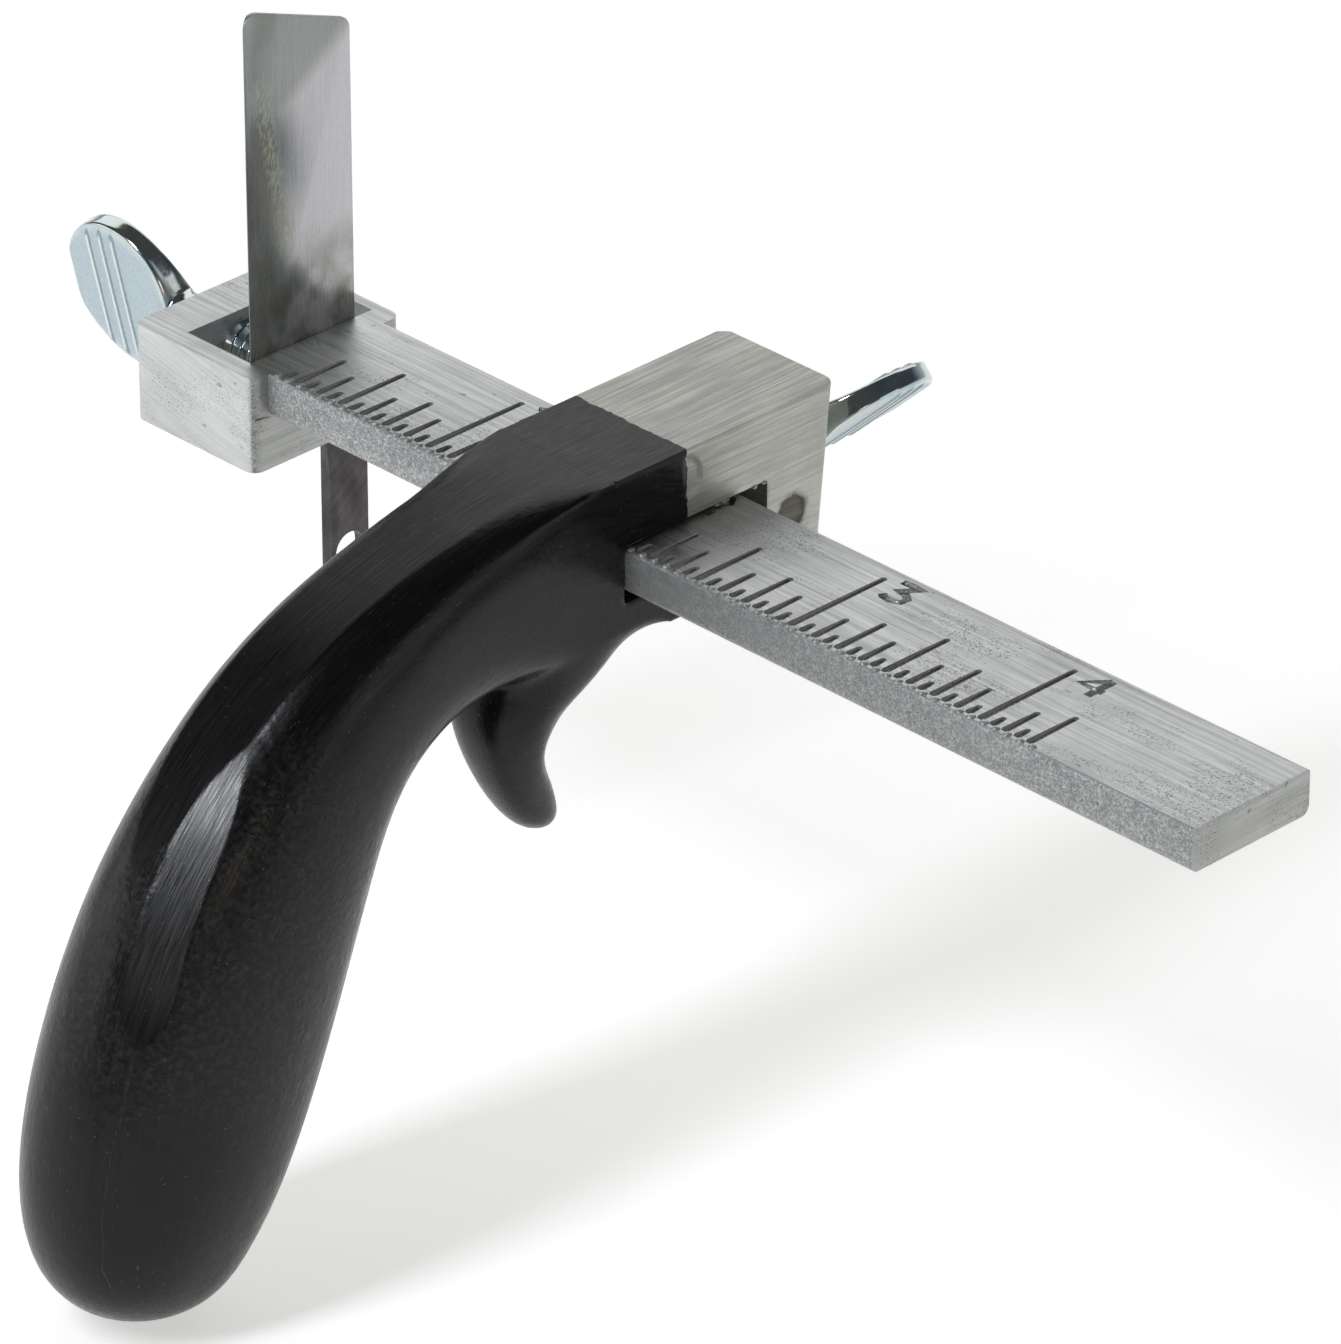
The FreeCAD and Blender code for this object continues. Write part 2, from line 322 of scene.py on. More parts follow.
# %% Remesh the handle
voxel = 0.34 * mm
handle = merged_copy("handle_shell", "handle_casting")
designed_handle = merged_copy("handle_guide", "handle_casting")
apply_modifier(handle, "REMESH", mode="VOXEL", voxel_size=voxel)
apply_modifier(handle, "SHRINKWRAP", target=designed_handle, wrap_method="NEAREST_SURFACEPOINT")
nose_low, nose_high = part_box("handle_casting")
grip_mid_x = (nose_low.x + nose_high.x) / 2
report(handle)

# %% Smoothing tools
def vertex_normals(piece):
    """A mesh's vertex normals as an array."""
    flat = np.empty(len(piece.data.vertices) * 3)
    piece.data.vertex_normals.foreach_get("vector", flat)
    return flat.reshape(-1, 3)


def smooth_where(piece, weight, passes):
    """Smooth the vertices by their weight."""
    group = piece.vertex_groups.new(name="ease")
    for index in np.nonzero(weight > 0.01)[0]:
        group.add([int(index)], float(weight[index]), "REPLACE")
    apply_modifier(piece, "SMOOTH", factor=0.5, iterations=passes, vertex_group="ease")
    piece.vertex_groups.clear()


def fill_hollows(piece, weight, passes):
    """Smooth widely, but keep only what this adds, as the sand does in an inside corner."""
    before = points_of(piece)
    normals = vertex_normals(piece)
    smooth_where(piece, weight, passes)
    change = points_of(piece) - before
    gain = (change * normals).sum(axis=1)
    move_points(piece, before + change * share(gain, 0.0, 0.15 * mm)[:, None])


# %% Square the neck
points = points_of(handle)
nose_side = 15.9 * mm
nose_half = nose_side / 2
nose_rear = -9.3 * mm
neck_end = -24.0 * mm
neck_mid_z = 4.0 * mm
flank_height = (-9.0 * mm, -3.0 * mm)       # the flanks below the middle are widened over this height
flank_width = (0.55, 0.9)                   # and this far out, as shares of the nose's half width
crown = np.arange(neck_end - mm, nose_rear + mm, 0.5 * mm)
crown_z = np.array([points[np.abs(points[:, 1] - y) < 0.5 * mm, 2].max() for y in crown])
u = (points[:, 0] - grip_mid_x) / nose_half
v = (points[:, 2] - neck_mid_z) / (np.interp(points[:, 1], crown, crown_z) - neck_mid_z)
behind_nose = points[:, 1] < nose_rear + 0.15 * mm
squareness = np.where(behind_nose, share(points[:, 1], neck_end, nose_rear), 0.0)
outward = np.clip(1 / np.maximum(np.maximum(np.abs(u), np.abs(v)), 0.3), 1.0, 1.6)
upper = v > 0
stretch = np.where(upper, 1 + squareness * (outward - 1), 1.0)
points[:, 0] = grip_mid_x + (points[:, 0] - grip_mid_x) * stretch
points[:, 2] = neck_mid_z + (points[:, 2] - neck_mid_z) * stretch
flank = squareness * share(points[:, 2], *flank_height) * share(np.abs(u), *flank_width)
flank = np.where(upper, 0.0, flank)
points[:, 0] += np.sign(u) * flank * np.clip(1 - np.abs(u), 0, 1) * nose_half
move_points(handle, points)
print("squared", int((squareness > 0).sum()), "vertices of the neck")

# %% Bend the hook and flatten the nose's side
hook_back = (-27.5 * mm, -25.5 * mm)        # these pairs are where a change begins and is full
hook_root = (4.0 * mm, 9.0 * mm)
hook_tip = (8.0 * mm, 21.0 * mm)
hook_front = (-19.0 * mm, -13.0 * mm)
front_end = (12.0 * mm, 18.0 * mm)
tip_forward = 2.3 * mm
tip_down = 2.0 * mm
tip_narrowing = 0.16
front_hollow = 1.6 * mm
root_backward = 0.7 * mm
side_rear, side_front = -9.3 * mm, 0.1 * mm
side_low, side_high = 8.8 * mm, 15.8 * mm
points = points_of(handle)
depth_below = -points[:, 2]
hook = share(points[:, 1], *hook_back) * share(depth_below, *hook_root)
tip = hook * share(depth_below, *hook_tip)
front = hook * share(points[:, 1], *hook_front) * (1 - share(depth_below, *front_end))
points[:, 1] += tip * tip_forward - front * front_hollow - hook * (1 - tip) * root_backward
points[:, 2] -= tip * tip_down
off_middle = np.clip(points[:, 0] - grip_mid_x, -5 * mm, 5 * mm)
points[:, 0] -= off_middle * tip * tip_narrowing
on_side = (points[:, 0] > nose_side - 0.5 * mm) & (points[:, 1] > side_rear) & (points[:, 1] < side_front)
on_side &= (points[:, 2] > side_low) & (points[:, 2] < side_high)
points[on_side, 0] = nose_side
move_points(handle, points)
print("bent", int((hook > 0).sum()), "vertices of the hook")

# %% Fill the hollows
neck_root = np.array((7.95, -14.0, -4.0)) * mm
neck_narrowing = (0.6, 1.0, 1.0)            # distances across the neck count less
points = points_of(handle)
away = np.linalg.norm((points - neck_root) * neck_narrowing, axis=1)
slot_side = (points[:, 1] > -9.0 * mm) & (points[:, 2] > -1.9 * mm)
ease = np.where(slot_side, 0.0, 1 - share(away, 15.0 * mm, 23.0 * mm))
fill_hollows(handle, ease, 500)
points = points_of(handle)
behind = share(-points[:, 1], 9.4 * mm, 16.0 * mm)
below = share(-points[:, 2], 2.6 * mm, 6.0 * mm)
smooth_where(handle, ease * np.maximum(behind, below), 40)
points = points_of(handle)
from_corner = np.hypot(points[:, 1] + 9.4 * mm, points[:, 2] + 4.0 * mm)
under_nose = 1 - share(from_corner, 3.0 * mm, 8.0 * mm)
under_nose = under_nose * share(-points[:, 2], 0.6 * mm, 2.2 * mm)
smooth_where(handle, under_nose, 260)
print("eased", int((ease > 0.01).sum()), "vertices around the neck")

# %% [markdown]
# ## Grinding the spine
# After casting, a belt grinder took the flash off the spine of the grip and left a long narrow
# flat. Polar coordinates about a point in front of the palm follow the bend of the grip: the
# angle runs along the spine, and the radius is the height of the metal. Grinding then is to cap
# the radius at a straight chord across the flat.

# %% Polar coordinates along the grip
palm_y = -20.0 * mm
palm_z = -50.0 * mm
bend_radius = 62.0 * mm


def polar(points):
    """Angle along the spine in degrees, from upright towards the heel, and radius."""
    dy = points[:, 1] - palm_y
    dz = points[:, 2] - palm_z
    return np.degrees(np.arctan2(-dy, dz)), np.hypot(dy, dz)


def spine_line(angle):
    """Where the mould's two halves met, which wanders off the middle towards the heel."""
    return grip_mid_x + 0.085 * mm * np.maximum(np.asarray(angle) - 20.0, 0.0)


def outer_radius(tree, x, angle):
    """Radius of the outer skin, measured by a ray that comes in from outside."""
    turn = math.radians(angle)
    ray = Vector((0.0, -math.sin(turn), math.cos(turn)))
    start = Vector((x, palm_y, palm_z)) + ray * 0.3
    hit = tree.ray_cast(start, -ray)[0]
    return (hit - Vector((x, palm_y, palm_z))).length if hit else 1.0


# %% Grind the flats
def grind(piece, first, last, left, right, fade_in, fade_out):
    """Cap the skin between two angles at the chord between its left and right edge, which
    are functions of the angle. Returns how deep each vertex was cut."""
    tree = BVHTree.FromObject(piece, bpy.context.evaluated_depsgraph_get())
    points = points_of(piece)
    angle, radius = polar(points)
    stations = np.arange(first, last + 1.0, 1.0)
    edge_a = np.array([outer_radius(tree, float(left(a)), a) for a in stations])
    edge_b = np.array([outer_radius(tree, float(right(a)), a) for a in stations])
    xa, xb = left(angle), right(angle)
    across = (points[:, 0] - xa) / (xb - xa)
    chord = np.interp(angle, stations, edge_a) * (1 - across)
    chord = chord + np.interp(angle, stations, edge_b) * across
    lift = 1 - share(angle, first, first + fade_in) * (1 - share(angle, last - fade_out, last))
    chord = chord + lift * 1.0 * mm
    cut = (across > 0) & (across < 1) & (angle > first) & (angle < last) & (radius > chord)
    cut &= radius < chord + 2.5 * mm
    depth = np.where(cut, radius - chord, 0.0)
    scale = np.where(cut, chord / radius, 1.0)
    points[:, 1] = palm_y + (points[:, 1] - palm_y) * scale
    points[:, 2] = palm_z + (points[:, 2] - palm_z) * scale
    move_points(piece, points)
    return depth


def straight(x):
    """An edge that keeps its place across the grip at every angle."""
    return lambda angle: x + 0 * angle


shoulder_left = straight(grip_mid_x - 5.0 * mm)
shoulder_right = straight(grip_mid_x + 3.6 * mm)
shoulder_depth = grind(handle, -12.0, 52.0, shoulder_left, shoulder_right, 3.0, 22.0)
band_depth = grind(handle, 26.0, 68.0, spine_line, lambda a: spine_line(a) + 4.6 * mm, 16.0, 12.0)
print("ground", int((band_depth > 0).sum()), "and", int((shoulder_depth > 0).sum()), "vertices")

# %% Step the parting line and store the grain
points = points_of(handle)
angle, radius = polar(points)
beyond = points[:, 0] - spine_line(angle)
on_back = (radius > 40 * mm) & (angle > 58.0) & (angle < 88.0)
along = share(angle, 58.0, 63.0) * (1 - share(angle, 78.0, 86.0))
step = share(beyond, -0.1 * mm, 0.25 * mm) * (1 - share(beyond, 0.8 * mm, 4.0 * mm))
drop = np.where(on_back, 0.13 * mm * along * step, 0.0)
points[:, 1:] -= (points[:, 1:] - (palm_y, palm_z)) * (drop / radius)[:, None]
move_points(handle, points)

grain = handle.data.attributes.new("grain", "FLOAT_VECTOR", "POINT")
along_grip = np.radians(angle) * bend_radius
grip_places = np.stack([along_grip, points[:, 0], radius], 1)
grain.data.foreach_set("vector", grip_places.astype(np.float32).ravel())
flat_top = share(points[:, 2], 15.2 * mm, 15.8 * mm) * share(points[:, 1], -14 * mm, -9 * mm)
ground_share = np.clip(np.maximum(band_depth, shoulder_depth) / (0.05 * mm) + flat_top, 0, 1)
band_fade = 1 - share(angle, 50.0, 64.0)
store(handle, "ground", ground_share)
store(handle, "band", np.clip(band_depth / (0.05 * mm), 0, 1) * band_fade)
smooth(handle, 40)
bpy.data.objects.remove(designed_handle)
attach(handle, "handle")
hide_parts("handle_casting")
report(handle)

# %% [markdown]
# ## The gauge bar's figures
# The bar's lines are real grooves in the designed part. The inch figures are added here: each
# is a few strokes, drawn as a round-nosed tube that is sunk into the bar's face and cut away,
# as a punch or an engraved pattern would leave them.

# %% Cut the figures
inch = 25.4 * mm
strap_setting = -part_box("blade")[1].x
bar_low, bar_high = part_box("gauge_bar")
bar_half = 8.1 * mm
bar_top = bar_high.z
figure_strokes = {
    1: [[(0.4, 3.0), (1.2, 3.7), (1.2, 0.0)]],
    2: [[(0.1, 2.9), (0.7, 3.6), (1.8, 3.6), (2.4, 2.8), (1.8, 1.7), (0.2, 0.0), (2.7, 0.0)]],
    3: [[(0.0, 3.5), (1.4, 3.6), (2.8, 3.7), (1.7, 2.7), (0.7, 1.9), (1.9, 1.9), (2.8, 1.3),
         (2.7, 0.4), (1.7, 0.0), (0.7, 0.1), (0.2, 0.5)]],
    4: [[(2.4, 3.8), (2.4, 0.0)], [(2.3, 3.7), (0.1, 1.5), (3.2, 1.5)]],
}
figure_step = 1.7 * mm      # from the inch line to the figure's left side
figure_base = 3.1 * mm      # from the bar's centre line to the figure's foot
stroke_radius = 0.52 * mm


def stroke(points, corner):
    """A round tube through points given in millimetres from a corner."""
    curve = bpy.data.curves.new("stroke", "CURVE")
    curve.dimensions = "3D"
    curve.bevel_depth = stroke_radius
    curve.bevel_resolution = 3
    curve.use_fill_caps = True
    line = curve.splines.new("POLY")
    line.points.add(len(points) - 1)
    for point, (x, y) in zip(line.points, points):
        point.co = (corner.x + x * mm, corner.y + y * mm, corner.z, 1.0)
    tube = bpy.data.objects.new("stroke", curve)
    bpy.context.scene.collection.objects.link(tube)
    take(tube)
    bpy.ops.object.convert(target="MESH")
    return bpy.context.object


cutters = []
for figure, strokes in figure_strokes.items():
    corner = Vector((figure * inch - strap_setting + figure_step, figure_base, bar_top + 0.13 * mm))
    cutters += [stroke(points, corner) for points in strokes]
figure_cutter = join("figure_cutter", cutters)
apply_modifier(figure_cutter, "REMESH", mode="VOXEL", voxel_size=0.08 * mm)
bar = merged_copy("gauge_bar_skin", "gauge_bar")
apply_modifier(bar, "BOOLEAN", operation="DIFFERENCE", solver="EXACT", object=figure_cutter)
bpy.data.objects.remove(figure_cutter)
print("cut", len(figure_strokes), "figures")

# %% Round the lines out
line_near = -bar_half + 0.75 * mm
line_lengths = {16: 13.4 * mm, 8: 9.1 * mm, 4: 6.9 * mm, 2: 5.0 * mm, 1: 2.0 * mm}
first_line, last_line = 2, 68
near_radius = 0.50 * mm
far_radius = 0.36 * mm
head_front = -strap_setting + 3.0 * mm


def line_cutter(x, length):
    """A tapered round-ended tool for one line: a sphere pulled apart along the line."""
    start_clean()
    bpy.ops.mesh.primitive_uv_sphere_add(segments=20, ring_count=9, radius=1.0)
    piece = just_added("line_cutter")
    points = points_of(piece)
    far = points[:, 2] > 0
    radius = np.where(far, far_radius, near_radius)
    start = np.where(far, line_near + length - far_radius, line_near + near_radius)
    move_points(piece, np.stack([x + points[:, 0] * radius, start + points[:, 2] * radius,
                                 bar_top + 0.01 * mm - points[:, 1] * radius], 1))
    return piece


cutters = []
for sixteenth in range(first_line, last_line + 1):
    x = sixteenth * inch / 16 - strap_setting
    if x > head_front + 0.62 * mm:
        longest = next(step for step in (16, 8, 4, 2, 1) if sixteenth % step == 0)
        cutters.append(line_cutter(x, line_lengths[longest]))
line_tool = join("line_tool", cutters)
apply_modifier(bar, "BOOLEAN", operation="DIFFERENCE", solver="EXACT", object=line_tool)
bpy.data.objects.remove(line_tool)
print("rounded", len(cutters), "lines")
smooth(bar, 32)
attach(bar, "bar")
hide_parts("gauge_bar")
report(bar)

# %% [markdown]
# ## Cast beads and flash
# Where the lines run off the bar's edge, the metal between them stands in small round beads,
# and the mould left a thin torn lip along the edge. One bead is modelled, and its copies are
# each pushed out of shape a little, from one seeded source of chance.

# %% Beads along the graduated edge
chance = random.Random(7)


def pebble(name, centre, size, roughness):
    """A small lump of cast metal: a sphere squeezed to size and knocked about."""
    start_clean()
    bpy.ops.mesh.primitive_ico_sphere_add(subdivisions=3, radius=1.0)
    piece = just_added(name)
    for vertex in piece.data.vertices:
        vertex.co *= 1 + chance.uniform(-roughness, roughness)
    piece.scale = size
    piece.rotation_euler = (0, 0, chance.uniform(-0.4, 0.4))
    piece.location = centre
    return settle(piece)


beads = []
for sixteenth in range(first_line, last_line + 1):
    x = (sixteenth + 0.5) * inch / 16 - strap_setting
    if x < bar_low.x + 18.6 * mm:
        continue
    size = (0.50 * mm * chance.uniform(0.85, 1.1), 0.46 * mm * chance.uniform(0.85, 1.1), 0.31 * mm)
    centre = (x + chance.uniform(-0.06, 0.06) * mm, -bar_half + chance.uniform(0.5, 0.62) * mm,
              bar_top - 0.07 * mm)
    beads.append(pebble("bead", centre, size, 0.05))
edge_beads = smooth(join("edge_beads", beads), 60)
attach(edge_beads, "bar")
report(edge_beads)


# %% Torn lips
def flash_lip(name, start, end, radius, wander):
    """A thin uneven lip of metal between two points."""
    start, end = Vector(start), Vector(end)
    run = end - start
    start_clean()
    bpy.ops.mesh.primitive_cylinder_add(vertices=8, radius=radius, depth=run.length)
    piece = just_added(name)
    cut_rings(piece, run.length, 0.28 * mm)
    rings = {}
    for vertex in piece.data.vertices:
        key = round(vertex.co.z / mm, 2)
        if key not in rings:
            rings[key] = (chance.uniform(0.45, 1.25), chance.uniform(-wander, wander),
                          chance.uniform(-wander, wander))
        swell, dx, dy = rings[key]
        vertex.co.x = vertex.co.x * swell + dx
        vertex.co.y = vertex.co.y * swell + dy
    piece.rotation_euler = run.to_track_quat("Z", "Y").to_euler()
    piece.location = (start + end) / 2
    return settle(piece)


under_bar = bar_top - 4.9 * mm
lip_foot = under_bar + 0.2 * mm
lip_y, lip_z = -bar_half + 0.2 * mm, bar_top - 0.2 * mm
lip_places = (
    ((head_front + 0.3 * mm, lip_y, lip_z), (bar_high.x - 0.6 * mm, lip_y, lip_z), 0.13 * mm, 0.035 * mm),
    ((head_front, -10.1 * mm, lip_foot), (head_front, -8.0 * mm, under_bar), 0.11 * mm, 0.03 * mm),
    ((head_front, 8.0 * mm, under_bar), (head_front, 10.1 * mm, lip_foot), 0.11 * mm, 0.03 * mm),
)
lips = [flash_lip("lip", *place) for place in lip_places]
bar_flash = smooth(join("bar_flash", lips), 50)
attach(bar_flash, "bar")
report(bar_flash)

# %% Crumbs in the mouth of the slot
slot_roof = 8.5 * mm
crumb_sizes = {4.4: 0.20, 5.2: 0.26, 5.8: 0.17, 9.6: 0.22, 10.9: 0.2}       # both in millimetres
crumbs = []
for y, size in crumb_sizes.items():
    centre = (nose_side - 0.05 * mm, y * mm, slot_roof + 0.02 * mm)
    crumbs.append(pebble("crumb", centre, (size * mm, size * 1.5 * mm, size * 0.9 * mm), 0.2))
slot_crumbs = smooth(join("slot_crumbs", crumbs), 60)
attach(slot_crumbs, "handle")
report(slot_crumbs)

# %% [markdown]
# ## The blade
# The blade is a strip of spring steel with a slanted end and small round corners. It is drawn
# as a thin block whose far top edge is moved down, its corners are rounded by bevels, and its
# keen edge is cut off aslant along the back.

# %% Block out the blade
blade_low, blade_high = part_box("blade")
slant = 5.3 * mm
corner_radius = 1.5 * mm
keen_width = 0.9 * mm
keen_left = 0.12 * mm
slant_angle = math.atan2(slant, blade_high.y - blade_low.y)
near_tangent = corner_radius / math.tan((math.pi / 2 - slant_angle) / 2)
far_tangent = corner_radius / math.tan((math.pi / 2 + slant_angle) / 2)
corner_loss = corner_radius * (math.tan(slant_angle) + 1 / math.cos(slant_angle) - 1)
top_z = blade_high.z - 0.04 * mm + corner_loss      # the round corner takes off what is added here
toe_gap = 0.03 * mm        # the sheet slides down close behind the toe without touching it
size = Vector((blade_high.x - toe_gap - blade_low.x, blade_high.y - blade_low.y, top_z - blade_low.z))
start_clean()
bpy.ops.mesh.primitive_cube_add(size=1.0, location=Vector(blade_low) + size / 2)
blade_sheet = just_added("blade_sheet")
blade_sheet.scale = size
settle(blade_sheet)
print("blade block", [round(v / mm, 2) for v in size], "mm")


# %% Slant its top, round its corners and cut its edge
def edit_edges(piece, wanted):
    """In edit mode, select the edges whose middle and run pass a test."""
    bpy.ops.object.mode_set(mode="EDIT")
    bpy.ops.mesh.select_all(action="DESELECT")
    mesh = bmesh.from_edit_mesh(piece.data)
    for edge in mesh.edges:
        a, b = edge.verts[0].co, edge.verts[1].co
        if wanted((a + b) / 2, b - a):
            edge.select_set(True)
    mesh.select_flush_mode()
    bmesh.update_edit_mesh(piece.data)


def crossways_top(side_y):
    """A test for the edge that runs through the sheet's thickness at the top of one side."""
    def passes(middle, run):
        is_crossways = abs(run.x) > 0.8 * run.length
        return is_crossways and middle.z > 20.0 * mm and abs(middle.y - side_y) < 0.1 * mm
    return passes


edit_edges(blade_sheet, crossways_top(blade_high.y))
bpy.ops.transform.translate(value=(0, 0, -slant))
bpy.ops.mesh.bevel(offset=far_tangent, offset_type="OFFSET", segments=8, affect="EDGES")
bpy.ops.object.mode_set(mode="OBJECT")
edit_edges(blade_sheet, crossways_top(blade_low.y))
bpy.ops.mesh.bevel(offset=near_tangent, offset_type="OFFSET", segments=8, affect="EDGES")
bpy.ops.mesh.select_all(action="SELECT")
keen_normal = Vector((-keen_width, -(size.x - keen_left), 0)).normalized()
keen_point = Vector((blade_low.x, blade_low.y + keen_width, blade_low.z))
bpy.ops.mesh.bisect(plane_co=keen_point, plane_no=keen_normal, clear_outer=True, use_fill=True)
bpy.ops.object.mode_set(mode="OBJECT")
apply_modifier(blade_sheet, "BEVEL", width=0.05 * mm, segments=2, limit_method="ANGLE",
               angle_limit=math.radians(40))
smooth(blade_sheet, 30)
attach(blade_sheet, "blade")
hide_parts("blade")
report(blade_sheet)
print("blade top", round(points_of(blade_sheet)[:, 2].max() / mm, 2), "designed", round(blade_high.z / mm, 2))

# %% [markdown]
# ## Thumb screws
# A forged thumb screw is a flat oval paddle that runs into a round neck. A sphere with its
# poles along the screw's axis already has the rings that such a shape needs: each ring is
# pressed into a rounded rectangle, round at the neck and flat in the paddle. Three low ribs
# cross each face for grip.

# %% Shape one wing
wing_length = 18.5 * mm
wing_half_span = 8.85 * mm
wing_half_thick = 1.22 * mm
neck_radius = 2.98 * mm
rib_places = (9.9 * mm, 11.8 * mm, 13.9 * mm)
rib_height = 0.24 * mm
rib_width = 0.30 * mm
paddle_middle = 10.2 * mm


def wing_span_at(x):
    """Half the paddle's width, where its oval runs into the round neck."""
    oval = np.sqrt(np.clip(1 - ((x - paddle_middle) / (wing_length - paddle_middle)) ** 2, 0, 1))
    neck = neck_radius * np.clip(1 - (x / wing_length) ** 3, 0, 1)
    return ((wing_half_span * oval) ** 5 + neck ** 5) ** 0.2


def wing_thickness_at(x):
    """Half the thickness: the neck thins in a hollow curve, and the far end is rounded off."""
    swell = (neck_radius - wing_half_thick) * np.exp(-(x / (3.1 * mm)) ** 2)
    tip = np.clip((x - (wing_length - 1.1 * mm)) / (1.1 * mm), 0, 1)
    return (wing_half_thick + swell) * np.sqrt(np.clip(1 - tip ** 2, 0, 1))


def wing(name):
    """One wing along +X from the origin, its paddle in the XZ plane."""
    start_clean()
    bpy.ops.mesh.primitive_uv_sphere_add(segments=72, ring_count=150, radius=1.0)
    piece = just_added(name)
    points = points_of(piece)
    x = (points[:, 2] + 1) / 2 * wing_length
    turn = np.arctan2(points[:, 1], points[:, 0])
    power = 2 + 7 * share(x, 1.2 * mm, 6.0 * mm)
    c, s = np.cos(turn), np.sin(turn)
    radial = (np.abs(c) ** power + np.abs(s) ** power) ** (-1 / power)
    pole = np.hypot(points[:, 0], points[:, 1]) < 1e-6
    radial = np.where(pole, 0, radial)
    span = wing_span_at(x)
    thick = wing_thickness_at(x)
    face = share(np.abs(s * radial), 0.9, 0.99) * share(0.97 - np.abs(c * radial), 0, 0.06)
    ribs = sum(np.exp(-((x - place) / rib_width) ** 4) for place in rib_places)
    y = s * radial * thick + np.sign(s) * face * ribs * rib_height
    move_points(piece, np.stack([x, y, c * radial * span], 1))
    store(piece, "flat", face)
    store(piece, "rib", face * ribs)
    return face_outward(piece)


def fit_screw(piece, tilt, heading, start):
    """Spin a piece drawn along +X by its tilt, turn it to its heading and move it there."""
    spin = Matrix.Rotation(math.radians(tilt), 4, "X")
    turn = Matrix.Rotation(math.radians(heading), 4, "Z")
    piece.data.transform(Matrix.Translation(start) @ turn @ spin)
    piece.data.update()
    return piece


def middle(node_name):
    """The middle of a designed node's box."""
    low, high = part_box(node_name)
    return (low + high) / 2


blade_shank_mid = middle("blade_screw_shank")
lock_shank_mid = middle("lock_screw_shank")
blade_wing_start = Vector((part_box("blade_screw_wing")[1].x, blade_shank_mid.y, blade_shank_mid.z))
lock_wing_start = Vector((lock_shank_mid.x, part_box("lock_screw_wing")[0].y, lock_shank_mid.z))
blade_wing = fit_screw(wing("blade_wing_forging"), -13.0, 180.0, blade_wing_start)
lock_wing = fit_screw(wing("lock_wing_forging"), 47.0, 90.0, lock_wing_start)
for piece, body, replaced in ((blade_wing, "blade_wing", "blade_screw_wing"),
                              (lock_wing, "lock_wing", "lock_screw_wing")):
    smooth(piece, 40)
    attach(piece, body)
    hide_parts(replaced)
    report(piece)

# %% [markdown]
# ## Screw threads
# The shanks are quarter-inch threads, twenty to the inch. A cylinder is cut into many rings,
# and each vertex is set to the height of the thread at its own angle, so that the crest winds
# along the shank as a true helix and both ends stay closed.

# %% Cut the threads
thread_pitch = inch / 20
thread_depth = 0.55 * mm
thread_radius = 2.99 * mm


def threaded_shank(name, length):
    """A threaded rod along +X from the origin."""
    start_clean()
    bpy.ops.mesh.primitive_cylinder_add(vertices=48, radius=thread_radius, depth=length)
    piece = just_added(name)
    cut_rings(piece, length, 0.11 * mm)
    points = points_of(piece)
    x = points[:, 2] + length / 2
    turn = np.arctan2(points[:, 1], points[:, 0])
    phase = (x / thread_pitch - turn / (2 * math.pi)) % 1.0
    groove = np.clip(1.25 - 2.5 * np.abs(phase - 0.5), 0, 1)
    lead_in = share(x, 0, 0.9 * mm)
    sunk = np.where(lead_in < 1, np.maximum(groove, 1 - lead_in), groove)
    radius = thread_radius - thread_depth * sunk
    move_points(piece, np.stack([x, radius * np.cos(turn), radius * np.sin(turn)], 1))
    return face_outward(piece)


def shank_length(node_name):
    """The longer side of a designed shank's box."""
    low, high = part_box(node_name)
    return max((high - low).x, (high - low).y)


blade_tip = Vector((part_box("blade_screw_shank")[1].x, blade_shank_mid.y, blade_shank_mid.z))
lock_tip = Vector((lock_shank_mid.x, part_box("lock_screw_shank")[0].y, lock_shank_mid.z))
blade_shank = threaded_shank("blade_screw_thread", shank_length("blade_screw_shank"))
lock_shank = threaded_shank("lock_screw_thread", shank_length("lock_screw_shank"))
fit_screw(blade_shank, 0, 180.0, blade_tip)
fit_screw(lock_shank, 0, 90.0, lock_tip)
for piece, body, replaced in ((blade_shank, "blade_screw", "blade_screw_shank"),
                              (lock_shank, "lock_screw", "lock_screw_shank")):
    smooth(piece, 30)
    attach(piece, body)
    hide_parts(replaced)
    report(piece)

# %% [markdown]
# ## Finishes
# Metal is shown mostly by the marks that its making left in it. So each finish here is a few
# noises, each stretched to the real length and width of one kind of mark: belt scratches, cast
# grain, pits. They drive the tone, the roughness and a bump of a few hundredths of a millimetre.

# %% Finish helpers
# Each kind of node that the finishes use, with its settings. A range takes a value, the two
# ends of its span and what these become. A mix takes a share and two colours.
TIMES, PLUS, MINUS, LARGER, SIZE_OF, TIMES_PLUS = (
    ("ShaderNodeMath", {"operation": name})
    for name in ("MULTIPLY", "ADD", "SUBTRACT", "MAXIMUM", "ABSOLUTE", "MULTIPLY_ADD"))
RANGE = ("ShaderNodeMapRange", {"interpolation_type": "SMOOTHSTEP"})
MIX, TINT = (("ShaderNodeMixRGB", {"blend_type": name}) for name in ("MIX", "MULTIPLY"))
RAMP = ("ShaderNodeValToRGB", {})


def new_finish(name):
    """An empty finish with its node tree and its shader."""
    made = bpy.data.materials.new(name)
    made.use_nodes = True
    return made, made.node_tree, made.node_tree.nodes["Principled BSDF"]


def marks(tree, source, size, detail=3.0, shift=0.0, turn=(0.0, 0.0, 0.0)):
    """Noise whose marks have the given size in millimetres along each axis."""
    scale = [s * mm for s in size]
    placed = node(tree, "ShaderNodeMapping", source, [shift * mm] * 3, turn, scale, vector_type="TEXTURE")
    return node(tree, "ShaderNodeTexNoise", placed, None, 1.0, detail)


